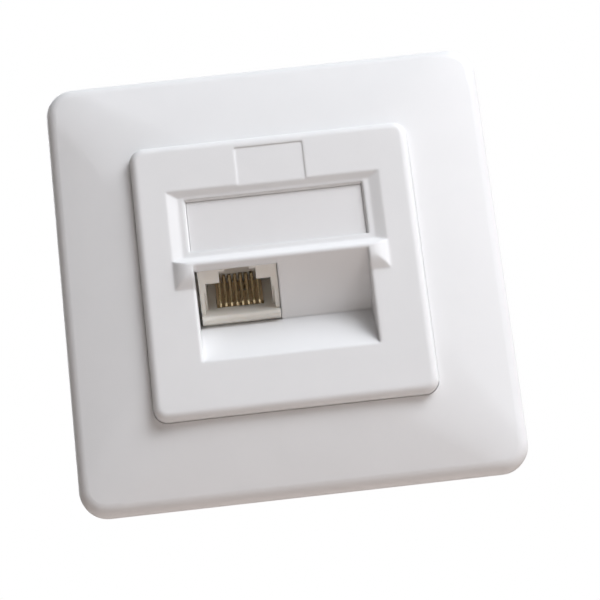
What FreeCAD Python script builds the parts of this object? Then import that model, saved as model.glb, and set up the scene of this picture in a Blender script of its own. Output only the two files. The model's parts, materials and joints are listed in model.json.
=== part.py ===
# Flush wall socket for a network plug: a square cover frame, a centre plate with a hooded
# slanted outlet, one eight-way jack behind it and the terminal board that the wall cable meets.
# Millimetres. X runs right, Y runs into the wall and Z up. The origin is the middle of the wall
# plane, which the frame's rim and the support plate's back both lie on.
import FreeCAD, Part
import math
import os

V = FreeCAD.Vector

# Cover frame
frame_overlap = 4.5
frame_corner_radius = 5.0
frame_wall = 1.8
frame_edge_height = 3.8
frame_edge_radius = 2.4
dome_edge_slope = 14.0
dome_plate_slope = 8.0
dome_corner_radius = 13.0
dome_sections = 5
dome_overrun = 1.0
dome_inrun = 4.0
collar_wall = 1.5
ledge_width = 2.8
ledge_thickness = 1.5

# Centre plate
plate_size = 50.5
plate_front = 8.7
plate_corner_radius = 2.5
plate_edge_radius = 1.4
plate_wall = 1.6
plate_gap = 0.08

# Label pocket in the plate, above the hood
label_width = 31.8
label_top = 14.36
label_bottom = 4.9
label_sink = 0.65
label_bevel = 0.3
label_thickness = 1.0
label_clearance = 0.06
pocket_strip = 1.4
pocket_top_strip = 0.8
pocket_bevel = 2.0
pocket_top_bevel = 1.11
pocket_depth = 0.7
pocket_backing = 1.1
label_leg_spacing = 27.0
label_leg_width = 4.0
label_leg_thickness = 1.2
label_leg_length = 3.6
label_leg_height = 10.0

# Small sunk tag field above the pocket
tag_width = 12.4
tag_top = 23.3
tag_depth = 0.12

# Hood over the outlet: a lip that stands proud of the plate and ends in two round ears
hood_height = 1.2
hood_nose_radius = 0.65
hood_crest_angle = 66.0
hood_hollow_bow = 0.25
hood_backing = 3.1
hood_root = 1.0
ear_foot = -2.1
ear_slope = 38.0
ear_headroom = 0.02
ear_edge_radius = 4.4
ear_front_end = -0.1
ear_turn_radius = 3.8

# Slanted outlet recess
recess_width = 31.3
recess_bottom = -15.55
recess_depth = 8.0
recess_corner_z = -7.35
recess_wall = 1.2
recess_edge_radius = 0.4
shelf_depth = 3.6
shelf_thickness = 0.5
outlet_angle = 45.0

# Jack, measured along its own slanted axes
jack_left_gap = 0.5
jack_width = 14.2
jack_nose = 3.0
jack_shoulder = 0.9
jack_height = 11.5
jack_depth = 13.0
jack_setback = 0.3
jack_clearance = 0.12
jack_floor = 2.3
mouth_width = 11.75
mouth_top = 8.75
mouth_depth = 10.7
latch_step_width = 6.6
latch_step_top = 10.95
latch_notch_width = 4.45
latch_notch_top = 11.6
lip_thickness = 2.1
lip_round = 0.6
lip_under_round = 1.8
lip_reach = 1.2
ledge_pocket_width = 12.6
ledge_pocket_top = 6.9
ledge_pocket_depth = 1.6
core_hole_width = 1.55
core_hole_start = 7.6
core_hole_end = 10.8
core_hole_floor = 0.3
comb_slot_top = 4.3
comb_slot_depth = 1.0
jack_peg_radius = 0.8
jack_peg_spacing = 10.0
jack_peg_height = 8.6

# Contact insert and the eight spring wires that bend round its nose
insert_width = 8.5
insert_bottom = 0.9
insert_nose = 3.6
insert_clearance = 0.08
wire_count = 8
wire_pitch = 1.02
wire_radius = 0.3
wire_bend_radius = 0.75
wire_low_run = 1.25
wire_rise_angle = 8.0
wire_end = 11.1
wire_pin_reach = 0.9
groove_clearance = 0.06
wire_hole_clearance = 0.1

# Terminal board
board_thickness = 1.6
board_bottom = -9.5
board_shoulder = 3.0
board_top = 12.3
board_neck_margin = 1.4
board_screw_height = -2.0
board_screw_radius = 1.1
board_screw_reach = 6.0
board_screw_head_radius = 2.0
board_screw_head_height = 1.4
pin_hole_radius = 0.45

# Two terminal blocks with forked contacts
block_length = 8.4
block_height = 9.0
block_gap = 2.4
block_screw_gap = 0.3
block_centre = -3.4
terminal_count = 4
terminal_end = 2.45
terminal_slot_width = 0.8
terminal_slot_depth = 5.5
fork_width = 2.4
fork_thickness = 0.5
fork_top_sink = 1.1
fork_gap = 0.36
fork_mouth = 1.2
fork_gap_depth = 4.2
fork_pin_width = 0.6
fork_pin_reach = 0.8
fork_clearance = 0.1

# Stamped support plate
support_thickness = 1.2
support_corner_radius = 6.0
support_window_margin = 3.1
support_window_height = 33.0
slot_spacing = 60.0
slot_length = 8.4
slot_width = 4.2
slot_edge = 5.5

# Module carrier behind the support plate
carrier_thickness = 2.0
carrier_ear_height = 21.0
carrier_top = 15.6
carrier_bottom = -12.5
carrier_window_gap = 0.6
carrier_window_top = 12.4
carrier_window_bottom = -9.5
cheek_thickness = 4.6
cheek_toe = 2.9
carrier_screw_offset = 0.6
carrier_ear_edge = 3.2
carrier_screw_spacing_z = 15.0
carrier_boss_radius = 2.6
carrier_boss_length = 4.0
carrier_screw_radius = 1.25
carrier_screw_head_radius = 2.2
carrier_screw_reach = 6.0

# Screw that holds the centre plate, hidden behind the label
plate_screw_x = 7.2
plate_screw_z = 9.9
plate_screw_radius = 1.45
plate_screw_head_radius = 2.75
plate_screw_head_height = 1.7
plate_screw_reach = 5.2
cup_depth = 2.0
cup_wall = 1.1
post_radius = 2.7
post_tab_side = 3.2
post_clearance = 0.1
screw_clearance = 0.15
thread_clearance = 0.05
drive_width = 0.7
drive_depth = 1.0
head_edge_radius = 0.7

# Values that follow from the sizes above
support_size = slot_spacing + 2 * slot_edge
frame_half = support_size / 2 + frame_overlap
plate_half = plate_size / 2
opening_half = plate_half + plate_gap
ledge_top = support_thickness + ledge_thickness
label_face = plate_front - pocket_depth - label_sink
label_back = label_face - label_thickness
label_seat = label_back - label_clearance
pocket_floor_width = label_width + 2 * pocket_strip
pocket_width = pocket_floor_width + 2 * pocket_bevel
pocket_floor_top = label_top + pocket_top_strip
pocket_top = pocket_floor_top + pocket_top_bevel
corner_out = plate_front - recess_depth
slant = math.radians(outlet_angle)
jack_x = -recess_width / 2 + jack_left_gap + jack_width / 2
jack_rear = jack_setback + jack_depth
board_rear = jack_rear + board_thickness
block_top = board_rear + block_height
wire_offsets = [(i - (wire_count - 1) / 2) * wire_pitch for i in range(wire_count)]
comb_slot_width = 2 * (wire_radius + groove_clearance)
carrier_window_width = recess_width + 2 * (recess_wall + carrier_window_gap)
carrier_body_width = carrier_window_width + 2 * cheek_thickness
carrier_screw_spacing_x = carrier_body_width + 2 * carrier_screw_offset
carrier_width = carrier_screw_spacing_x + 2 * carrier_ear_edge
support_window_width = carrier_screw_spacing_x - 2 * support_window_margin
board_width = carrier_body_width
board_screw_spacing = carrier_window_width + cheek_thickness
block_run = board_screw_spacing - 2 * (board_screw_head_radius + block_screw_gap)
block_width = (block_run - block_gap) / 2
block_spacing = block_width + block_gap
terminal_pitch = (block_width - 2 * terminal_end) / (terminal_count - 1)
terminal_offsets = [(i - (terminal_count - 1) / 2) * terminal_pitch for i in range(terminal_count)]
# The outlet's own axes: depth runs back and up, rise runs out and up along the slanted face
outlet_place = FreeCAD.Placement(V(0, -corner_out, recess_corner_z),
                                 FreeCAD.Rotation(V(1, 0, 0), outlet_angle))


# A point given by its height out of the wall
def point(x, out, z):
    return V(x, -out, z)


def block(x0, x1, out0, out1, z0, z1):
    return Part.makeBox(x1 - x0, out1 - out0, z1 - z0, V(x0, -out1, z0))


# A rod along the wall's normal
def rod(x, z, radius, out0, out1):
    return Part.makeCylinder(radius, out1 - out0, point(x, out0, z), V(0, -1, 0))


# A side outline of (out, z) points, stretched along X
def prism(outline, x0, x1):
    points = [point(x0, out, z) for out, z in outline]
    face = Part.Face(Part.makePolygon(points + points[:1]))
    return face.extrude(V(x1 - x0, 0, 0))


def rounded_square(half, radius, out):
    inner = half - radius
    edges = []
    for turn in range(4):
        angle = turn * math.pi / 2
        side_x, side_z = math.cos(angle), math.sin(angle)
        next_x, next_z = -side_z, side_x
        start = point(half * side_x - inner * next_x, out, half * side_z - inner * next_z)
        end = point(half * side_x + inner * next_x, out, half * side_z + inner * next_z)
        edges.append(Part.LineSegment(start, end).toShape())
        reach = inner + radius * math.sqrt(0.5)
        middle = point(reach * (side_x + next_x), out, reach * (side_z + next_z))
        after = point(half * next_x + inner * side_x, out, half * next_z + inner * side_z)
        edges.append(Part.Arc(end, middle, after).toShape())
    return Part.Wire(edges)


def rounded_prism(half, radius, out0, out1):
    return Part.Face(rounded_square(half, radius, out0)).extrude(V(0, out0 - out1, 0))


# Where two lines meet, each given by a point and a direction in (out, z)
def meet(p, d, q, e):
    cross = d[0] * e[1] - d[1] * e[0]
    along = ((q[0] - p[0]) * e[1] - (q[1] - p[1]) * e[0]) / cross
    return (p[0] + along * d[0], p[1] + along * d[1])


# Start, middle and end of the round between two straight runs that meet in a corner
def rounded_corner(before, corner, after, radius):
    ways = []
    for end in (before, after):
        length = math.hypot(end[0] - corner[0], end[1] - corner[1])
        ways.append(((end[0] - corner[0]) / length, (end[1] - corner[1]) / length))
    half = math.acos(ways[0][0] * ways[1][0] + ways[0][1] * ways[1][1]) / 2
    tangent = radius / math.tan(half)
    reach = radius / math.sin(half) - radius
    between = (ways[0][0] + ways[1][0], ways[0][1] + ways[1][1])
    length = math.hypot(*between)
    start = (corner[0] + tangent * ways[0][0], corner[1] + tangent * ways[0][1])
    middle = (corner[0] + reach * between[0] / length, corner[1] + reach * between[1] / length)
    end = (corner[0] + tangent * ways[1][0], corner[1] + tangent * ways[1][1])
    return start, middle, end


# A box and a rod on the outlet's own axes
def outlet_block(x0, x1, depth0, depth1, rise0, rise1):
    return Part.makeBox(x1 - x0, depth1 - depth0, rise1 - rise0, V(x0, depth0, rise0))


def outlet_rod(x, rise, radius, depth0, depth1):
    return Part.makeCylinder(radius, depth1 - depth0, V(x, depth0, rise), V(0, 1, 0))


def seat(shape):
    placed = shape.copy()
    placed.Placement = outlet_place.multiply(placed.Placement)
    return placed


# A place on the slanted outlet, as (out, z)
def outlet_point(depth, rise):
    out = corner_out - depth * math.cos(slant) + rise * math.sin(slant)
    z = recess_corner_z + depth * math.sin(slant) + rise * math.cos(slant)
    return (out, z)


# Height of the frame's domed front at a distance in from its edge
def dome_height(inward):
    span = frame_half - plate_half
    steep = math.sin(math.radians(dome_edge_slope))
    gentle = math.sin(math.radians(dome_plate_slope))
    radius = span / (steep - gentle)
    angle = math.asin(steep - inward / radius)
    return frame_edge_height + radius * (math.cos(angle) - math.cos(math.radians(dome_edge_slope)))


# The solid under the domed front, moved in by a wall for the hollow behind it
def under_dome(sink):
    span = frame_half - plate_half
    wires = []
    for i in range(dome_sections):
        inward = -dome_overrun + i * (dome_overrun + span + dome_inrun) / (dome_sections - 1)
        blend = max(0.0, inward / span)
        radius = frame_corner_radius + blend * (dome_corner_radius - frame_corner_radius)
        wires.append(rounded_square(frame_half - inward, radius, dome_height(inward) - sink))
    foot = dome_height(-dome_overrun) - sink
    base = rounded_prism(frame_half + dome_overrun, frame_corner_radius, -frame_wall, foot)
    return Part.makeLoft(wires, True, False).fuse(base)


def make_cover_frame():
    tall = plate_front + frame_wall
    shell = rounded_prism(frame_half, frame_corner_radius, 0, tall).common(under_dome(0))
    rim = []
    for edge in shell.Edges:
        middle = edge.valueAt((edge.FirstParameter + edge.LastParameter) / 2)
        low = min(-v.Y for v in edge.Vertexes)
        reach = max(abs(middle.x), abs(middle.z))
        if reach > frame_half - frame_corner_radius / 2 and low > frame_edge_height / 2:
            rim.append(edge)
    shell = shell.makeFillet(frame_edge_radius, rim)
    hollow = rounded_prism(frame_half - frame_wall, frame_corner_radius - frame_wall, -frame_wall, tall)
    outer = shell
    shell = shell.cut(hollow.common(under_dome(frame_wall)))
    collar = rounded_prism(opening_half + collar_wall, plate_corner_radius + plate_gap + collar_wall,
                           support_thickness, tall)
    shell = shell.fuse(collar.common(outer))
    shell = shell.cut(rounded_prism(opening_half, plate_corner_radius + plate_gap, ledge_top, tall))
    shell = shell.cut(rounded_prism(opening_half - ledge_width, plate_corner_radius, -frame_wall, tall))
    return shell.removeSplitter()


# Edges of a side outline at one x, through (out, z) points
def side_line(x, start, end):
    return Part.LineSegment(point(x, *start), point(x, *end)).toShape()


def side_arc(x, start, middle, end):
    return Part.Arc(point(x, *start), point(x, *middle), point(x, *end)).toShape()


# A place on the hood's round nose, which runs straight into the slanted wall under it
def nose_point(degrees):
    out = plate_front + hood_height - hood_nose_radius
    rise = (out + hood_nose_radius * math.cos(slant) - corner_out) / math.sin(slant)
    z = outlet_point(0, rise)[1] + hood_nose_radius * math.sin(slant)
    angle = math.radians(degrees)
    return (out + hood_nose_radius * math.cos(angle), z + hood_nose_radius * math.sin(angle))


# Upper side of the hood: a hollow from the label's foot to the crest, then part of the nose
def hood_upper_edges(x, nose_end):
    foot = (label_face, label_bottom)
    crest = nose_point(hood_crest_angle)
    run = (crest[0] - foot[0], crest[1] - foot[1])
    length = math.hypot(*run)
    middle = (foot[0] + run[0] / 2 + hood_hollow_bow * run[1] / length,
              foot[1] + run[1] / 2 - hood_hollow_bow * run[0] / length)
    nose_middle = nose_point((hood_crest_angle + nose_end) / 2)
    return [side_arc(x, foot, middle, crest), side_arc(x, crest, nose_middle, nose_point(nose_end))]


# The lip between the ears, with the top of the slanted wall as its underside
def make_lip():
    x = -recess_width / 2
    low = outlet_point(0, jack_height - hood_root)
    back = outlet_point(hood_backing, jack_height - hood_root)
    corners = [nose_point(-outlet_angle), low, back, (label_seat - pocket_backing, label_bottom),
               (label_face, label_bottom)]
    edges = hood_upper_edges(x, -outlet_angle)
    for start, end in zip(corners, corners[1:]):
        edges.append(side_line(x, start, end))
    return Part.Face(Part.Wire(edges)).extrude(V(recess_width, 0, 0))


# Side outline of an ear at one x: the hood's upper side, its front, then a slope down into the plate
def ear_outline(x):
    front = nose_point(0)
    corner = (front[0], ear_front_end)
    slope = (plate_front - corner[0], ear_foot - corner[1])
    sunk = meet(corner, slope, (label_face, 0), (0, 1))
    turn = rounded_corner(front, corner, sunk, ear_turn_radius)
    edges = hood_upper_edges(x, 0)
    edges += [side_line(x, front, turn[0]), side_arc(x, *turn), side_line(x, turn[2], sunk)]
    edges.append(side_line(x, sunk, (label_face, label_bottom)))
    return Part.Face(Part.Wire(edges))


# One ear: the hood's end beside the recess, sloped off outwards past a round edge
def make_ear(side):
    inner = side * recess_width / 2
    outer = side * pocket_width / 2
    run = side / math.tan(math.radians(ear_slope))
    top = plate_front + hood_height + ear_headroom
    low = ear_foot - recess_depth
    widest = outer + run * (plate_front - label_face)
    corner = (outer - run * (top - plate_front), top)
    turn = rounded_corner((inner, top), corner, (widest, label_face), ear_edge_radius)
    start, middle, end = [point(x, out, low) for x, out in turn]
    corners = [end, point(widest, label_face, low), point(inner, label_face, low), point(inner, top, low),
               start]
    edges = [Part.Arc(start, middle, end).toShape()]
    for first, second in zip(corners, corners[1:]):
        edges.append(Part.LineSegment(first, second).toShape())
    plan = Part.Face(Part.Wire(edges)).extrude(V(0, 0, label_bottom - low))
    ear = ear_outline(inner).extrude(V(widest + run - inner, 0, 0)).common(plan)
    return ear.common(block(-pocket_width / 2, pocket_width / 2, label_face, top, ear_foot, label_bottom))


# The four-sided pocket that the label sits in, open at the bottom where the hood begins
def pocket_void():
    wires = []
    bottom = outlet_point(0, jack_height)[1]
    for level in (0.0, 2 * pocket_depth):
        grow = level / pocket_depth
        half = (pocket_floor_width + grow * (pocket_width - pocket_floor_width)) / 2
        top = pocket_floor_top + grow * (pocket_top - pocket_floor_top)
        out = plate_front - pocket_depth + level
        corners = [point(-half, out, bottom), point(half, out, bottom), point(half, out, top),
                   point(-half, out, top)]
        wires.append(Part.makePolygon(corners + corners[:1]))
    return Part.makeLoft(wires, True, True)


# The recess under the hood: a slanted back wall above and a ramp that runs out to the plate
def recess_void():
    far = plate_front + 2 * hood_height
    top = nose_point(-outlet_angle)
    outline = [(corner_out, recess_corner_z), (plate_front, recess_bottom), (far, recess_bottom),
               (far, top[1]), top]
    return prism(outline, -recess_width / 2, recess_width / 2)


# The same recess with its wall outside it, up to the plate's front skin
def recess_backing():
    wall_way = (math.sin(slant), math.cos(slant))
    ramp = (recess_depth, recess_bottom - recess_corner_z)
    length = math.hypot(*ramp)
    ramp_way = (ramp[0] / length, ramp[1] / length)
    wall_back = outlet_point(recess_wall, jack_height)
    ramp_back = (corner_out + recess_wall * ramp_way[1], recess_corner_z - recess_wall * ramp_way[0])
    back_corner = meet(wall_back, wall_way, ramp_back, ramp_way)
    skin = plate_front - plate_wall / 2
    ramp_end = meet(ramp_back, ramp_way, (skin, 0), (0, 1))
    wall_end = meet(wall_back, wall_way, (skin - recess_wall, 0), (0, 1))
    outline = [wall_end, back_corner, ramp_end, (skin, wall_end[1])]
    reach = recess_width / 2 + recess_wall
    return prism(outline, -reach, reach)


# A thin shelf under the jack, which closes the view past its lower edge
def jack_shelf():
    reach = recess_width / 2 + recess_wall
    top = -jack_clearance
    return seat(outlet_block(-reach, reach, 0, shelf_depth, top - shelf_thickness, top))


# Room for the jack behind the recess, open to the recess's left wall
def jack_room():
    left = -recess_width / 2
    right = jack_x + jack_width / 2 + jack_clearance
    top = jack_height + jack_clearance
    room = outlet_block(left, right, -jack_clearance, 2 * jack_rear, -jack_clearance, top)
    wide = jack_width / 2 + jack_shoulder + jack_clearance
    room = room.fuse(jack_block(2 * wide, jack_nose - jack_clearance, 2 * jack_rear, -jack_clearance, top))
    return seat(room)


# Room for the label cover, with a bevel from the pocket's floor down to the cover's front
def label_room():
    half = label_width / 2
    room = block(-half, half, label_seat, plate_front, label_bottom, label_top)
    wires = []
    for grow in (0, 2):
        wide = half + grow * label_bevel
        out = label_face + grow * label_sink
        top = label_top + grow * label_bevel
        corners = [point(-wide, out, label_bottom), point(wide, out, label_bottom), point(wide, out, top),
                   point(-wide, out, top)]
        wires.append(Part.makePolygon(corners + corners[:1]))
    return room.fuse(Part.makeLoft(wires, True, True))


def label_slots(clearance):
    slots = []
    for side in (-1, 1):
        x = side * label_leg_spacing / 2
        half = label_leg_thickness / 2 + clearance
        tall = label_leg_width / 2 + clearance
        slots.append(block(x - half, x + half, label_back - label_leg_length - clearance, label_back,
                           label_leg_height - tall, label_leg_height + tall))
    return slots


# The recess's two upright edges on the plate's front
def recess_side_edges(body):
    edges = []
    for edge in body.Edges:
        ends = edge.Vertexes
        on_side = all(abs(abs(v.X) - recess_width / 2) < 1e-6 for v in ends)
        on_front = all(abs(-v.Y - plate_front) < 1e-6 for v in ends)
        if on_side and on_front and ends[0].X * ends[-1].X > 0:
            edges.append(edge)
    return edges


def make_centre_plate():
    body = rounded_prism(plate_half, plate_corner_radius, ledge_top, plate_front)
    front = [e for e in body.Edges if all(abs(-v.Y - plate_front) < 1e-6 for v in e.Vertexes)]
    body = body.makeFillet(plate_edge_radius, front)
    hollow = rounded_prism(plate_half - plate_wall, max(plate_corner_radius - plate_wall, 0.5),
                           ledge_top - plate_wall, plate_front - plate_wall)
    body = body.cut(hollow)
    back = label_seat - pocket_backing
    half = pocket_width / 2
    body = body.fuse(block(-half, half, back, plate_front - plate_wall / 2, ear_foot,
                           pocket_top + pocket_backing))
    body = body.fuse(recess_backing())
    body = body.fuse(jack_shelf())
    cup_floor = label_seat - cup_depth
    body = body.fuse(rod(plate_screw_x, plate_screw_z, plate_screw_head_radius + screw_clearance + cup_wall,
                         cup_floor - cup_wall, back))
    body = body.cut(pocket_void())
    body = body.cut(label_room())
    body = body.cut(recess_void())
    body = body.fuse(make_lip())
    for side in (-1, 1):
        body = body.fuse(make_ear(side))
    body = body.cut(jack_room())
    body = body.cut(rod(plate_screw_x, plate_screw_z, plate_screw_head_radius + screw_clearance,
                        cup_floor, label_seat))
    body = body.cut(rod(plate_screw_x, plate_screw_z, plate_screw_radius + screw_clearance,
                        cup_floor - 2 * cup_wall, cup_floor))
    for slot in label_slots(label_clearance):
        body = body.cut(slot)
    body = body.cut(block(-tag_width / 2, tag_width / 2, plate_front - tag_depth, plate_front,
                          pocket_floor_top, tag_top))
    body = body.removeSplitter()
    return body.makeFillet(recess_edge_radius, recess_side_edges(body))


def make_label_cover():
    half = label_width / 2 - label_clearance
    cover = block(-half, half, label_back, label_face, label_bottom + label_clearance,
                  label_top - label_clearance)
    for leg in label_slots(0):
        cover = cover.fuse(leg)
    return cover.removeSplitter()


# A cross drive sunk into a screw head whose top is at depth zero
def cross_drive(radius, deep):
    bars = []
    for turn in (0, 90):
        bar = Part.makeBox(2 * radius, drive_width, deep, V(-radius, -drive_width / 2, -deep))
        bar.rotate(V(0, 0, 0), V(0, 0, 1), turn)
        bars.append(bar)
    return bars[0].fuse(bars[1])


# A pan-head screw standing on Z with its head's underside at zero
def pan_screw(radius, head_radius, head_height, reach):
    screw = Part.makeCylinder(radius, reach, V(0, 0, -reach))
    head = Part.makeCylinder(head_radius, head_height)
    top = [e for e in head.Edges if all(abs(v.Z - head_height) < 1e-6 for v in e.Vertexes)]
    head = head.makeFillet(head_edge_radius, [e for e in top if e.Length > head_radius])
    drive = cross_drive(radius, drive_depth)
    drive.translate(V(0, 0, head_height))
    return screw.fuse(head).cut(drive).removeSplitter()


# Stands a screw in the wall's normal, head out
def face_out(shape, x, out, z):
    shape.Placement = FreeCAD.Placement(point(x, out, z), FreeCAD.Rotation(V(1, 0, 0), 90))
    return shape


def make_plate_screw():
    screw = pan_screw(plate_screw_radius, plate_screw_head_radius, plate_screw_head_height, plate_screw_reach)
    return face_out(screw, plate_screw_x, label_seat - cup_depth, plate_screw_z)


def countersunk_screw(head_radius, radius, reach):
    head_height = head_radius - radius
    head = Part.makeCone(radius, head_radius, head_height, V(0, 0, -head_height))
    shank = Part.makeCylinder(radius, reach, V(0, 0, -reach))
    drive = cross_drive(radius, drive_depth)
    return shank.fuse(head).cut(drive).removeSplitter()


def carrier_screw_places():
    places = []
    for side_x in (-1, 1):
        for side_z in (-1, 1):
            places.append((side_x * carrier_screw_spacing_x / 2, side_z * carrier_screw_spacing_z / 2))
    return places


def make_carrier_screws():
    screws = []
    for x, z in carrier_screw_places():
        screw = countersunk_screw(carrier_screw_head_radius, carrier_screw_radius, carrier_screw_reach)
        screws.append(face_out(screw, x, support_thickness, z))
    return Part.makeCompound(screws)


def make_support_plate():
    plate = rounded_prism(support_size / 2, support_corner_radius, 0, support_thickness)
    half = support_window_width / 2
    tall = support_window_height / 2
    plate = plate.cut(block(-half, half, 0, support_thickness, -tall, tall))
    run = (slot_length - slot_width) / 2
    for side in (-1, 1):
        x = side * slot_spacing / 2
        for end in (-run, run):
            plate = plate.cut(rod(x + end, 0, slot_width / 2, 0, support_thickness))
        plate = plate.cut(block(x - run, x + run, 0, support_thickness, -slot_width / 2, slot_width / 2))
    wide = carrier_screw_head_radius + screw_clearance
    narrow = carrier_screw_radius + screw_clearance
    for x, z in carrier_screw_places():
        sink = Part.makeCone(narrow, wide, wide - narrow, point(x, support_thickness - (wide - narrow), z),
                             V(0, -1, 0))
        plate = plate.cut(sink).cut(rod(x, z, narrow, 0, support_thickness))
    return plate.removeSplitter()


# Triangular side cheeks whose sloping edges carry the terminal board
def carrier_cheek(side):
    head = meet(outlet_point(jack_rear, 0), (math.sin(slant), math.cos(slant)),
                (-carrier_thickness, 0), (0, 1))
    toe = outlet_point(jack_rear, board_bottom)
    outline = [head, toe, (toe[0], toe[1] - cheek_toe), (-carrier_thickness, carrier_bottom)]
    near = side * carrier_window_width / 2
    far = side * carrier_body_width / 2
    return prism(outline, min(near, far), max(near, far))


def make_module_carrier():
    body_half = carrier_body_width / 2
    window_half = carrier_window_width / 2
    ear = carrier_ear_height / 2
    carrier = block(-body_half, body_half, -carrier_thickness, 0, carrier_bottom, carrier_top)
    carrier = carrier.fuse(block(-carrier_width / 2, carrier_width / 2, -carrier_thickness, 0, -ear, ear))
    carrier = carrier.cut(block(-window_half, window_half, -carrier_thickness, 0,
                                carrier_window_bottom, carrier_window_top))
    for side in (-1, 1):
        carrier = carrier.fuse(carrier_cheek(side))
    carrier = carrier.fuse(block(plate_screw_x - post_tab_side, plate_screw_x + post_tab_side,
                                 -carrier_thickness, 0, plate_screw_z - post_radius, carrier_top))
    post_top = label_seat - cup_depth - cup_wall - post_clearance
    carrier = carrier.fuse(rod(plate_screw_x, plate_screw_z, post_radius, -carrier_thickness, post_top))
    carrier = carrier.cut(rod(plate_screw_x, plate_screw_z, plate_screw_radius + thread_clearance,
                              -carrier_thickness, post_top))
    for x, z in carrier_screw_places():
        carrier = carrier.fuse(rod(x, z, carrier_boss_radius, -carrier_thickness - carrier_boss_length, 0))
    for x, z in carrier_screw_places():
        carrier = carrier.cut(rod(x, z, carrier_screw_radius + thread_clearance,
                                  -carrier_thickness - carrier_boss_length, 0))
    for side in (-1, 1):
        x = side * board_screw_spacing / 2
        hole = outlet_rod(x, board_screw_height, board_screw_radius + thread_clearance,
                          jack_rear - board_screw_reach, jack_rear)
        carrier = carrier.cut(seat(hole))
    return carrier.removeSplitter()


# A box on the outlet's axes, centred on the jack
def jack_block(width, depth0, depth1, rise0, rise1):
    return outlet_block(jack_x - width / 2, jack_x + width / 2, depth0, depth1, rise0, rise1)


# What a round takes off the jack's front edge at one depth and rise
def edge_waste(depth, rise, radius, way):
    rise0 = min(rise, rise + way * radius)
    corner = jack_block(jack_width, depth, depth + radius, rise0, rise0 + radius)
    centre = V(jack_x - jack_width / 2, depth + radius, rise + way * radius)
    return corner.cut(Part.makeCylinder(radius, jack_width, centre, V(1, 0, 0)))


# The core hole beside the middle wires, sunk into the jack's floor
def core_hole():
    return outlet_block(jack_x, jack_x + core_hole_width, core_hole_start, core_hole_end, core_hole_floor,
                        jack_floor)


def make_jack_housing():
    front = jack_setback
    housing = jack_block(jack_width, front, jack_rear, 0, jack_height)
    housing = housing.fuse(jack_block(jack_width + 2 * jack_shoulder, jack_nose, jack_rear, 0, jack_height))
    cavity_end = front + mouth_depth
    housing = housing.cut(jack_block(mouth_width, front, cavity_end, jack_floor, mouth_top))
    housing = housing.cut(jack_block(latch_step_width, front, cavity_end, jack_floor, latch_step_top))
    housing = housing.cut(jack_block(latch_notch_width, front, cavity_end, jack_floor, latch_notch_top))
    housing = housing.cut(jack_block(ledge_pocket_width, front, front + ledge_pocket_depth,
                                     jack_floor, ledge_pocket_top))
    # a round lip under the mouth, which carries the floor out past the front
    lip_front = front - lip_reach
    lip = jack_block(jack_width, lip_front, front, jack_clearance, jack_floor)
    over = edge_waste(lip_front, jack_floor, lip_round, -1)
    under = edge_waste(lip_front, jack_clearance, lip_under_round, 1)
    housing = housing.fuse(lip.cut(over).cut(under))
    # channel for the contact insert, open at the rear and under the cavity
    channel = insert_width + 2 * insert_clearance
    housing = housing.cut(jack_block(channel, front + lip_thickness, jack_rear,
                                     insert_bottom - insert_clearance, jack_floor + insert_clearance))
    housing = housing.cut(core_hole())
    for offset in wire_offsets:
        x = jack_x + offset
        housing = housing.cut(outlet_block(x - comb_slot_width / 2, x + comb_slot_width / 2, cavity_end,
                                           cavity_end + comb_slot_depth, jack_floor, comb_slot_top))
    for side in (-1, 1):
        x = jack_x + side * jack_peg_spacing / 2
        housing = housing.fuse(outlet_rod(x, jack_peg_height, jack_peg_radius, jack_rear, board_rear))
    return seat(housing.removeSplitter())


def make_contact_insert():
    insert = jack_block(insert_width, insert_nose, jack_rear, insert_bottom, jack_floor)
    groove = 2 * (wire_radius + groove_clearance)
    groove_top = wire_low_run + wire_radius + groove_clearance
    for offset in wire_offsets:
        x = jack_x + offset
        insert = insert.cut(outlet_block(x - groove / 2, x + groove / 2, insert_nose, jack_rear,
                                         insert_bottom, groove_top))
    return seat(insert.cut(core_hole()).removeSplitter())


# One spring wire: a run under the insert, a bend round its nose and a rising run to the comb
def make_contact_wire(offset):
    x = jack_x + offset
    rise = math.radians(wire_rise_angle)
    centre_depth = insert_nose
    centre_rise = wire_low_run + wire_bend_radius
    tail = V(x, board_rear + wire_pin_reach, wire_low_run)
    bend_start = V(x, centre_depth, wire_low_run)
    bend_middle = V(x, centre_depth - wire_bend_radius * math.cos(rise / 2),
                    centre_rise + wire_bend_radius * math.sin(-rise / 2))
    bend_end = V(x, centre_depth - wire_bend_radius * math.sin(rise),
                 centre_rise + wire_bend_radius * math.cos(rise))
    run = wire_end - bend_end.y
    tip = V(x, wire_end, bend_end.z + run * math.tan(rise))
    path = Part.Wire([Part.LineSegment(tail, bend_start).toShape(),
                      Part.Arc(bend_start, bend_middle, bend_end).toShape(),
                      Part.LineSegment(bend_end, tip).toShape()])
    section = Part.Wire([Part.Circle(tail, V(0, 1, 0), wire_radius).toShape()])
    return seat(path.makePipeShell([section], True, True))


def make_circuit_board():
    half = board_width / 2
    board = outlet_block(-half, half, jack_rear, board_rear, board_bottom, board_shoulder)
    neck = jack_width / 2 + board_neck_margin
    board = board.fuse(outlet_block(jack_x - neck, jack_x + neck, jack_rear, board_rear,
                                    board_shoulder, board_top))
    wire_hole = wire_radius + wire_hole_clearance
    holes = [(jack_x + offset, wire_low_run, wire_hole) for offset in wire_offsets]
    for side in (-1, 1):
        peg_x = jack_x + side * jack_peg_spacing / 2
        screw_x = side * board_screw_spacing / 2
        holes.append((peg_x, jack_peg_height, jack_peg_radius + screw_clearance))
        holes.append((screw_x, board_screw_height, board_screw_radius + screw_clearance))
        for offset in terminal_offsets:
            holes.append((side * block_spacing / 2 + offset, block_centre, pin_hole_radius))
    for x, rise, radius in holes:
        board = board.cut(outlet_rod(x, rise, radius, jack_rear, board_rear))
    return seat(board.removeSplitter())


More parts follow.
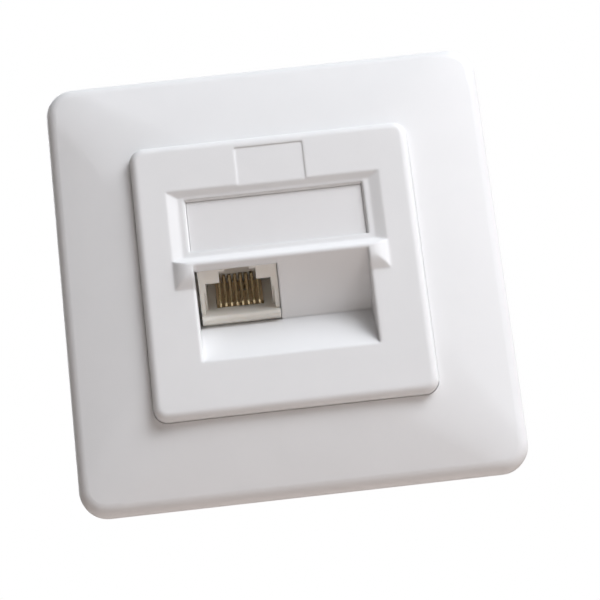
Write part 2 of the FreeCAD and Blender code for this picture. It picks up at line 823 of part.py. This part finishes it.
def make_board_screws():
    screws = []
    for side in (-1, 1):
        screw = pan_screw(board_screw_radius, board_screw_head_radius, board_screw_head_height,
                          board_screw_reach)
        screw.Placement = FreeCAD.Placement(V(side * board_screw_spacing / 2, board_rear, board_screw_height),
                                            FreeCAD.Rotation(V(1, 0, 0), -90))
        screws.append(seat(screw))
    return Part.makeCompound(screws)


def make_terminal_block(side):
    centre = side * block_spacing / 2
    body = outlet_block(centre - block_width / 2, centre + block_width / 2, board_rear, block_top,
                        block_centre - block_length / 2, block_centre + block_length / 2)
    for offset in terminal_offsets:
        x = centre + offset
        body = body.cut(outlet_block(x - terminal_slot_width / 2, x + terminal_slot_width / 2,
                                     block_top - terminal_slot_depth, block_top,
                                     block_centre - block_length / 2, block_centre + block_length / 2))
        half = fork_width / 2 + fork_clearance
        thin = fork_thickness / 2 + fork_clearance
        fork_top = block_top - fork_top_sink + fork_clearance
        body = body.cut(outlet_block(x - half, x + half, board_rear, fork_top,
                                     block_centre - thin, block_centre + thin))
    return seat(body.removeSplitter())


# A forked blade that cuts into a wire pushed down between its tines
def make_terminal_fork(x):
    thin = fork_thickness / 2
    top = block_top - fork_top_sink
    base = board_rear + fork_clearance
    fork = outlet_block(x - fork_width / 2, x + fork_width / 2, base, top,
                        block_centre - thin, block_centre + thin)
    pin_end = jack_rear - fork_pin_reach
    fork = fork.fuse(outlet_block(x - fork_pin_width / 2, x + fork_pin_width / 2, pin_end, base,
                                  block_centre - thin, block_centre + thin))
    mouth_end = top - (fork_mouth - fork_gap)
    gap = [V(x - fork_gap / 2, top - fork_gap_depth, block_centre - thin),
           V(x + fork_gap / 2, top - fork_gap_depth, block_centre - thin),
           V(x + fork_gap / 2, mouth_end, block_centre - thin),
           V(x + fork_mouth / 2, top, block_centre - thin),
           V(x - fork_mouth / 2, top, block_centre - thin),
           V(x - fork_gap / 2, mouth_end, block_centre - thin)]
    fork = fork.cut(Part.Face(Part.makePolygon(gap + gap[:1])).extrude(V(0, 0, fork_thickness)))
    return seat(fork.removeSplitter())


def make_parts():
    parts = {
        "cover_frame": make_cover_frame(),
        "centre_plate": make_centre_plate(),
        "label_cover": make_label_cover(),
        "plate_screw": make_plate_screw(),
        "support_plate": make_support_plate(),
        "module_carrier": make_module_carrier(),
        "carrier_screws": make_carrier_screws(),
        "jack_housing": make_jack_housing(),
        "contact_insert": make_contact_insert(),
        "circuit_board": make_circuit_board(),
        "board_screws": make_board_screws(),
        "terminal_block_left": make_terminal_block(-1),
        "terminal_block_right": make_terminal_block(1),
    }
    for i, offset in enumerate(wire_offsets):
        parts["contact_wire_%d" % (i + 1)] = make_contact_wire(offset)
    number = 1
    for side in (-1, 1):
        for offset in terminal_offsets:
            parts["terminal_fork_%d" % number] = make_terminal_fork(side * block_spacing / 2 + offset)
            number += 1
    return parts


def main():
    os.makedirs("parts", exist_ok=True)
    for name, shape in make_parts().items():
        shape.exportStep(os.path.join("parts", name + ".step"))
        print(name, len(shape.Solids), "solid", round(shape.Volume, 2), "mm3", shape.isValid())


main()
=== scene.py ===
import json
import math

import bpy
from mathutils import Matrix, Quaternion, Vector

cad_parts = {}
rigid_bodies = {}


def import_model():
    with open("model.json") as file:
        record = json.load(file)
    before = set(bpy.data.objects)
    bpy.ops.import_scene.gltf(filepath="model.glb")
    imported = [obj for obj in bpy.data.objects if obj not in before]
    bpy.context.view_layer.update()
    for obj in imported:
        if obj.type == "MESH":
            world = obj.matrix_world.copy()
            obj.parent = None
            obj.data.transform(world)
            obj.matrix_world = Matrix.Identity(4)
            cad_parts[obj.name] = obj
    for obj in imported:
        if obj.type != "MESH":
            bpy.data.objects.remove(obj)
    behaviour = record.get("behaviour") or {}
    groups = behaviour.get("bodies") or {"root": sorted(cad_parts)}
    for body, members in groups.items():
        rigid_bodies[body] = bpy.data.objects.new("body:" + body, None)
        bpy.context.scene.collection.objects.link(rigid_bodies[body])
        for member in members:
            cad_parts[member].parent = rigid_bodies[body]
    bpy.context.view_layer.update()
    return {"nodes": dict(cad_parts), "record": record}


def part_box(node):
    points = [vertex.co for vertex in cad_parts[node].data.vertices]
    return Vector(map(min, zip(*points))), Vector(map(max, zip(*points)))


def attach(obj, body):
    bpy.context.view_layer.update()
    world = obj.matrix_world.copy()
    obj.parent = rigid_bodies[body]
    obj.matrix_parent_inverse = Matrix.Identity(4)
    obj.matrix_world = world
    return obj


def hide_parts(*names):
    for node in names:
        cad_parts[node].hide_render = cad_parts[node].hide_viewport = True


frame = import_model()
nodes = frame["nodes"]
scene = bpy.context.scene
mm = 0.001
print("frame loaded,", len(nodes), "nodes")


class Link:
    # one socket of a shader tree; sums on it become Math nodes
    def __init__(self, tree, socket=None):
        self.tree = tree
        self.socket = socket

    def node(self, kind, settings=None, values=None, out=0):
        made = self.tree.nodes.new("ShaderNode" + kind)
        for name, value in (settings or {}).items():
            setattr(made, name, value)
        for name, value in (values or {}).items():
            if isinstance(value, Link):
                self.tree.links.new(value.socket, made.inputs[name])
            else:
                made.inputs[name].default_value = value
        return Link(self.tree, made.outputs[out])

    def math(self, operation, first, second):
        return self.node("Math", {"operation": operation}, {0: first, 1: second})

    def __add__(self, other):
        return self.math("ADD", self, other)

    def __sub__(self, other):
        return self.math("SUBTRACT", self, other)

    def __rsub__(self, other):
        return self.math("SUBTRACT", other, self)

    def __mul__(self, other):
        return self.math("MULTIPLY", self, other)

    __radd__ = __add__
    __rmul__ = __mul__

    def spread(self, low, high):
        # what lies between low and high, spread over 0 to 1
        return self.node("MapRange", None, {"Value": self, "From Min": low, "From Max": high})

    def mix(self, first, second):
        # two colours blended by this factor; 6, 7 and 2 are the Mix node's colour sockets
        return self.node("Mix", {"data_type": "RGBA"}, {0: self, 6: first, 7: second}, out=2)

    def into(self, shader, name):
        self.tree.links.new(self.socket, shader.inputs[name])


def newFinish(name):
    material = bpy.data.materials.new(name)
    material.use_nodes = True
    shader = material.node_tree.nodes["Principled BSDF"]
    start = Link(material.node_tree)
    return material, shader, start, start.node("TexCoord", out="Object")


def noise(start, place, size, detail):
    # soft noise whose features are about that many millimetres
    return start.node("TexNoise", None, {"Vector": place, "Scale": 1.0 / (size * mm), "Detail": detail})


def shade(colour, share):
    return tuple(min(1.0, c * share) for c in colour) + (1.0,)


def colouring(shader, tone, look):
    # a cloudy colour, a little darker and paler than the one that is given
    low, high = look["cloudRange"]
    dark, pale = shade(look["colour"], look["dark"]), shade(look["colour"], look["pale"])
    tone.spread(low, high).mix(dark, pale).into(shader, "Base Color")


def relief(shader, start, grain, look):
    # gloss that follows the grain, a fine bump and softened edges
    (look["rough"] + (grain - 0.5) * look["roughSpread"]).into(shader, "Roughness")
    edge = start.node("Bevel", {"samples": look["edgeSamples"]}, {"Radius": look["edge"] * mm})
    bump = {"Strength": look["grain"], "Distance": look["grainDepth"] * mm, "Height": grain, "Normal": edge}
    start.node("Bump", None, bump).into(shader, "Normal")


def mouldedPlastic(name, look):
    material, shader, start, place = newFinish(name)
    colouring(shader, noise(start, place, look["cloudSize"], look["cloudDetail"]), look)
    relief(shader, start, noise(start, place, look["grainSize"], look["grainDetail"]), look)
    shader.inputs["Specular IOR Level"].default_value = look["gloss"]
    shader.inputs["Subsurface Weight"].default_value = look["glow"]
    shader.inputs["Subsurface Radius"].default_value = look["glowColour"]
    shader.inputs["Subsurface Scale"].default_value = look["glowReach"] * mm
    return material


def platedMetal(name, look):
    material, shader, start, place = newFinish(name)
    stretched = start.node("Mapping", None, {"Vector": place, "Scale": look["brush"]})
    streak = noise(start, stretched, look["grainSize"], look["grainDetail"])
    cloud = noise(start, place, look["cloudSize"], look["cloudDetail"])
    colouring(shader, cloud * (1 - look["streaks"]) + streak * look["streaks"], look)
    relief(shader, start, streak, look)
    shader.inputs["Metallic"].default_value = 1.0
    return material


def laminate(name, look):
    # green lacquer over faint copper runs, with a fine grain in its gloss
    material, shader, start, place = newFinish(name)
    turned = start.node("Mapping", None, {"Vector": place, "Rotation": (math.radians(look["turn"]), 0, 0)})
    runs = start.node("TexWave", {"bands_direction": "X"}, {
        "Vector": turned, "Scale": look["runScale"], "Distortion": look["runBend"], "Detail": 1.0})
    copper = runs.spread(*look["runEdge"])
    cloud = noise(start, turned, look["cloudSize"], look["cloudDetail"])
    lacquer = cloud.mix(shade(look["colour"], look["dark"]), shade(look["colour"], look["pale"]))
    (copper * look["runShow"]).mix(lacquer, shade(look["copper"], 1.0)).into(shader, "Base Color")
    grain = noise(start, turned, look["grainSize"], look["grainDetail"])
    (look["rough"] + (grain - 0.5) * look["roughSpread"]).into(shader, "Roughness")
    bump = {"Strength": look["runBump"], "Distance": look["runHeight"] * mm, "Height": copper}
    start.node("Bump", None, bump).into(shader, "Normal")
    return material


# sizes in millimetres; each plastic and metal changes a few values of its kind
whitePlastic = {
    "colour": (0.80, 0.80, 0.80), "dark": 0.988, "pale": 1.012,
    "cloudSize": 14.0, "cloudDetail": 3.0, "cloudRange": (0.3, 0.7),
    "rough": 0.42, "roughSpread": 0.08, "gloss": 0.4, "edge": 0.35, "edgeSamples": 6,
    "grain": 0.10, "grainSize": 0.22, "grainDetail": 2.0, "grainDepth": 0.02,
    "glow": 0.0, "glowReach": 1.0, "glowColour": (1.0, 0.8, 0.65),
}
jackPlastic = {"colour": (0.77, 0.74, 0.68), "rough": 0.48, "glow": 0.25, "glowReach": 1.5}
plastics = {
    "frame_white": {},
    "plate_white": {"edge": 0.8},
    "label_white": {"colour": (0.78, 0.775, 0.775), "edge": 0.12},
    "carrier_grey": {"colour": (0.66, 0.66, 0.64), "rough": 0.5},
    "jack_ivory": {**jackPlastic, "edge": 0.12},
    # painted light: the insert is ivory like the jack, and its brighter, browner colour stands in for
    # gold-tinted light bounced into the shaded mouth
    "insert_ivory": {**jackPlastic, "colour": (0.88, 0.72, 0.50), "edge": 0.05, "glow": 0.0},
    "terminal_white": {"colour": (0.74, 0.74, 0.71), "edge": 0.12},
}
# runScale is the Wave texture's own and puts a copper run about every 15 mm
boardGreen = {
    "colour": (0.008, 0.075, 0.033), "dark": 0.8, "pale": 1.2, "cloudSize": 1.2, "cloudDetail": 3.0,
    "copper": (0.02, 0.13, 0.055), "turn": -45.0, "runScale": 20.8333, "runBend": 1.5,
    "runEdge": (0.62, 0.72), "runShow": 0.7, "runBump": 0.3, "runHeight": 0.03,
    "rough": 0.35, "roughSpread": 0.15, "grainSize": 0.25, "grainDetail": 2.0,
}
plainMetal = {
    "dark": 0.88, "pale": 1.08, "cloudDetail": 3.0, "cloudRange": (0.3, 0.7),
    "brush": (1, 1, 1), "streaks": 0.4, "edgeSamples": 6,
    "grain": 0.12, "grainDetail": 4.0, "grainDepth": 0.02,
}
metals = {
    "screw_steel": {"colour": (0.62, 0.62, 0.62), "grainSize": 0.3, "cloudSize": 2.0,
                    "rough": 0.3, "roughSpread": 0.15, "edge": 0.08},
    "zinc_steel": {"colour": (0.60, 0.61, 0.62), "grainSize": 0.35, "cloudSize": 9.0,
                   "rough": 0.36, "roughSpread": 0.2, "edge": 0.15, "brush": (0.06, 1, 1)},
    "contact_gold": {"colour": (0.74, 0.62, 0.40), "grainSize": 0.2, "cloudSize": 0.9,
                     "rough": 0.26, "roughSpread": 0.12, "edge": 0.03},
    "fork_tin": {"colour": (0.66, 0.65, 0.62), "grainSize": 0.25, "cloudSize": 1.5,
                 "rough": 0.34, "roughSpread": 0.12, "edge": 0.04},
}


def finishName(slot):
    first, second = slot.split("_")
    return first + second.capitalize()


finishes = {}
for slot, changes in plastics.items():
    finishes[slot] = mouldedPlastic(finishName(slot), {**whitePlastic, **changes})
finishes["board_green"] = laminate("boardGreen", boardGreen)
for slot, changes in metals.items():
    finishes[slot] = platedMetal(finishName(slot), {**plainMetal, **changes})
for part in frame["record"]["subparts"]:
    for materialSlot in nodes[part["node"]].material_slots:
        materialSlot.material = finishes[part["material_slot"]]
print("finishes made,", len(finishes))


def middleX(node):
    # where a node's middle lies across the socket, in millimetres
    low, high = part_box(node)
    return (low[0] + high[0]) / 2 / mm


# the outlet leans back: depth runs in and up, rise runs out and up
outlet = {"corner": (0.0, -0.7, -7.35), "lean": 45.0, "jackX": middleX("jack_housing")}


def outletPoint(x, depth, rise):
    lean = math.radians(outlet["lean"])
    inward = depth * math.cos(lean) - rise * math.sin(lean)
    upward = depth * math.sin(lean) + rise * math.cos(lean)
    return (Vector(outlet["corner"]) + Vector((x, inward, upward))) * mm


class Tree:
    # a Geometry Nodes tree that repeats a shape in a row, with named inputs
    rowInputs = [("Count", "Int"), ("Start", "Vector"), ("Step", "Vector"), ("Finish", "Material")]

    def __init__(self, name, inputs=()):
        self.tree = bpy.data.node_groups.new(name, "GeometryNodeTree")
        self.ids = {}
        for label, kind in [("Shape", "Geometry"), *inputs, *self.rowInputs]:
            kind = "NodeSocket" + kind
            socket = self.tree.interface.new_socket(label, in_out="INPUT", socket_type=kind)
            self.ids[label] = socket.identifier
        self.tree.interface.new_socket("Result", in_out="OUTPUT", socket_type="NodeSocketGeometry")
        self.given = self.tree.nodes.new("NodeGroupInput").outputs
        self.result = self.tree.nodes.new("NodeGroupOutput").inputs[0]

    def node(self, kind, settings=None, values=None):
        made = self.tree.nodes.new("GeometryNode" + kind)
        for name, value in (settings or {}).items():
            setattr(made, name, value)
        for name, value in (values or {}).items():
            if isinstance(value, bpy.types.NodeSocket):
                self.tree.links.new(value, made.inputs[name])
            else:
                made.inputs[name].default_value = value
        return made.outputs[0]

    def row(self, shape):
        # copies the shape along a line and gives it its finish
        given = self.given
        line = self.node("MeshLine", None, {
            "Count": given["Count"], "Start Location": given["Start"], "Offset": given["Step"]})
        copies = self.node("InstanceOnPoints", None, {"Points": line, "Instance": shape})
        whole = self.node("RealizeInstances", None, {"Geometry": copies})
        dressed = self.node("SetMaterial", None, {"Geometry": whole, "Material": given["Finish"]})
        self.tree.links.new(dressed, self.result)

    def make(self, name, source, count, pitch, slot, values=None):
        # runs the tree on a source object and keeps the row, centred on it, as a plain mesh
        first = -(count - 1) / 2 * pitch * mm
        row = {"Count": count, "Start": (first, 0.0, 0.0), "Step": (pitch * mm, 0.0, 0.0),
               "Finish": finishes[slot]}
        modifier = source.modifiers.new("make", "NODES")
        modifier.node_group = self.tree
        for label, value in {**row, **(values or {})}.items():
            modifier[self.ids[label]] = value
        bpy.context.view_layer.update()
        graph = bpy.context.evaluated_depsgraph_get()
        mesh = bpy.data.meshes.new_from_object(source.evaluated_get(graph), depsgraph=graph)
        bpy.data.objects.remove(source)
        mesh.name = name
        for face in mesh.polygons:
            face.use_smooth = len(face.vertices) == 4  # the ends have more corners and stay flat
        piece = bpy.data.objects.new(name, mesh)
        scene.collection.objects.link(piece)
        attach(piece, "socket")
        return piece


# contact springs: one bent wire, repeated across the jack
springs = {"count": 8, "pitch": 1.02, "radius": 0.3, "bend": 0.75, "lowRun": 1.25, "nose": 2.85,
           "tail": 15.8, "rise": 8.0, "end": 11.1, "bendPoints": 14, "sides": 20}


def springTree():
    tree = Tree("springRow", [("Radius", "Float"), ("Bend", "Float")])
    bent = tree.node("FilletCurve", {"mode": "POLY"}, {
        "Curve": tree.given["Shape"], "Radius": tree.given["Bend"], "Count": springs["bendPoints"],
        "Limit Radius": True})
    ring = tree.node("CurvePrimitiveCircle", None, {
        "Resolution": springs["sides"], "Radius": tree.given["Radius"]})
    tree.row(tree.node("CurveToMesh", None, {"Curve": bent, "Profile Curve": ring, "Fill Caps": True}))
    return tree


def contactSprings():
    s = springs
    rise = math.radians(s["rise"])
    bendTop = s["lowRun"] + s["bend"] * (1 + math.cos(rise))
    bendDepth = s["nose"] + s["bend"] * (1 - math.sin(rise))
    route = [(s["tail"], s["lowRun"]), (s["nose"], s["lowRun"])]
    for depth in (s["nose"], s["end"]):
        route.append((depth, bendTop + (depth - bendDepth) * math.tan(rise)))
    curve = bpy.data.curves.new("springRoute", "CURVE")
    curve.dimensions = "3D"
    line = curve.splines.new("POLY")
    line.points.add(len(route) - 1)
    for point, (depth, height) in zip(line.points, route):
        point.co = (*outletPoint(outlet["jackX"], depth, height), 1.0)
    source = bpy.data.objects.new("springRoute", curve)
    scene.collection.objects.link(source)
    piece = springTree().make("contactSprings", source, s["count"], s["pitch"], "contact_gold", {
        "Radius": s["radius"] * mm, "Bend": s["bend"] * mm})
    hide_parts(*["contact_wire_%d" % (i + 1) for i in range(s["count"])])


contactSprings()
print("contact springs made")

# solder cones where the pins come through the board; rings are shares of height and radius
solder = {"radius": 0.5, "height": 0.55, "rear": 14.9, "front": 13.3, "forkRise": -3.4, "forkRadius": 0.45,
          "forks": {"Left": (1, 4), "Right": (5, 8)}, "sides": 18,
          "rings": [(0.0, 1.0), (0.12, 0.86), (0.35, 0.66), (0.7, 0.53), (1.0, 0.44)]}


def solderCone(name, x, depth, rise, radius, way):
    # a hollow-sided cone that stands on the board: way is 1 on its rear and -1 on its front
    rings, sides = solder["rings"], solder["sides"]
    points, faces = [], []
    for share, width in rings:
        for i in range(sides):
            turn = 2 * math.pi * i / sides
            points.append(outletPoint(x + radius * width * math.cos(turn),
                                      depth + way * solder["height"] * share,
                                      rise + way * radius * width * math.sin(turn)))
    for low in range(0, (len(rings) - 1) * sides, sides):
        high = low + sides
        for i in range(sides):
            j = (i + 1) % sides
            faces.append((low + j, low + i, high + i, high + j))
    faces.append(tuple(range(sides)))
    faces.append(tuple(range((len(rings) - 1) * sides, len(rings) * sides))[::-1])
    mesh = bpy.data.meshes.new(name)
    mesh.from_pydata(points, [], faces)
    mesh.update()
    source = bpy.data.objects.new(name, mesh)
    scene.collection.objects.link(source)
    return source


def solderRow(name, x, depth, rise, radius, way, count, pitch):
    tree = Tree(name + "Row")
    tree.row(tree.given["Shape"])
    tree.make(name, solderCone(name + "Cone", x, depth, rise, radius, way), count, pitch, "fork_tin")


solderRow("springSolder", outlet["jackX"], solder["rear"], springs["lowRun"], solder["radius"], 1,
          springs["count"], springs["pitch"])
for side, (first, last) in solder["forks"].items():
    firstX, lastX = middleX("terminal_fork_%d" % first), middleX("terminal_fork_%d" % last)
    steps = last - first
    solderRow("forkSolder" + side, (firstX + lastX) / 2, solder["front"], solder["forkRise"],
              solder["forkRadius"], -1, steps + 1, (lastX - firstX) / steps)
print("solder made")

# camera: below the plate's middle, with the socket turned a little in the picture
shot = {"place": (-7.74, -340.74, -89.74), "aim": (2.81, 0.89, -3.84), "roll": -6.70, "lens": 115.93,
        "sensor": 36.0, "nearest": 10.0}


def addCamera():
    camera = bpy.data.cameras.new("camera")
    camera.lens = shot["lens"]
    camera.sensor_width = shot["sensor"]
    camera.clip_start = shot["nearest"] * mm
    stand = bpy.data.objects.new("camera", camera)
    stand.location = Vector(shot["place"]) * mm
    way = Vector(shot["aim"]) - Vector(shot["place"])
    turn = Quaternion((0, 0, 1), math.radians(shot["roll"]))
    stand.rotation_mode = "QUATERNION"
    stand.rotation_quaternion = way.to_track_quat("-Z", "Y") @ turn
    scene.collection.objects.link(stand)
    scene.camera = stand


# two big soft lamps high on the right, a weak one above and one behind for the back; metres
lampColour = (0.93, 0.955, 1.0)
lamps = {
    "keyLamp": {"place": (0.60, -0.36, 0.57), "size": 0.7, "power": 5.7},
    "upperLamp": {"place": (0.44, -0.59, 0.52), "size": 0.5, "power": 4.2},
    "topLamp": {"place": (0.15, -0.42, 0.77), "size": 0.5, "power": 1.15},
    "backLamp": {"place": (-0.35, 0.75, 0.35), "size": 0.6, "power": 3.0},
}


def addLamps():
    for name, lamp in lamps.items():
        light = bpy.data.lights.new(name, "AREA")
        light.shape = "DISK"
        light.size = lamp["size"]
        light.color = lampColour
        light.energy = lamp["power"]
        stand = bpy.data.objects.new(name, light)
        stand.location = lamp["place"]
        stand.rotation_mode = "QUATERNION"
        stand.rotation_quaternion = (-Vector(lamp["place"])).to_track_quat("-Z", "Y")
        scene.collection.objects.link(stand)


# white behind the socket, a weak fill light, and a pale floor below; metres
studio = {"fill": 0.02, "backdrop": 1.0, "white": (1.0, 1.0, 1.0, 1.0),
          "floorHeight": -0.2, "floorSize": 12.0, "floorColour": (0.76, 0.66, 0.60, 1.0), "floorRough": 0.9}


def addWorld():
    world = bpy.data.worlds.new("studio")
    world.use_nodes = True
    scene.world = world
    tree = world.node_tree
    tree.nodes.clear()
    start = Link(tree)
    seen = start.node("LightPath", out="Is Camera Ray")
    kinds = seen.socket.node.outputs
    for kind in ("Is Glossy Ray", "Is Transmission Ray"):
        seen = start.math("MAXIMUM", seen, Link(tree, kinds[kind]))
    fill = start.node("Background", None, {"Color": studio["white"], "Strength": studio["fill"]})
    backdrop = start.node("Background", None, {"Color": studio["white"], "Strength": studio["backdrop"]})
    both = start.node("MixShader", None, {0: seen, 1: fill, 2: backdrop})
    out = tree.nodes.new("ShaderNodeOutputWorld")
    both.into(out, "Surface")


def addFloor():
    half = studio["floorSize"] / 2
    low = studio["floorHeight"]
    mesh = bpy.data.meshes.new("floor")
    corners = [(-half, -half, low), (half, -half, low), (half, half, low), (-half, half, low)]
    mesh.from_pydata(corners, [], [(0, 1, 2, 3)])
    floor = bpy.data.objects.new("floor", mesh)
    scene.collection.objects.link(floor)
    material, shader, _, _ = newFinish("floorPale")
    shader.inputs["Base Color"].default_value = studio["floorColour"]
    shader.inputs["Roughness"].default_value = studio["floorRough"]
    mesh.materials.append(material)


addCamera()
addLamps()
addWorld()
addFloor()
scene.view_settings.view_transform = "Standard"
print("camera, lamps and studio made")
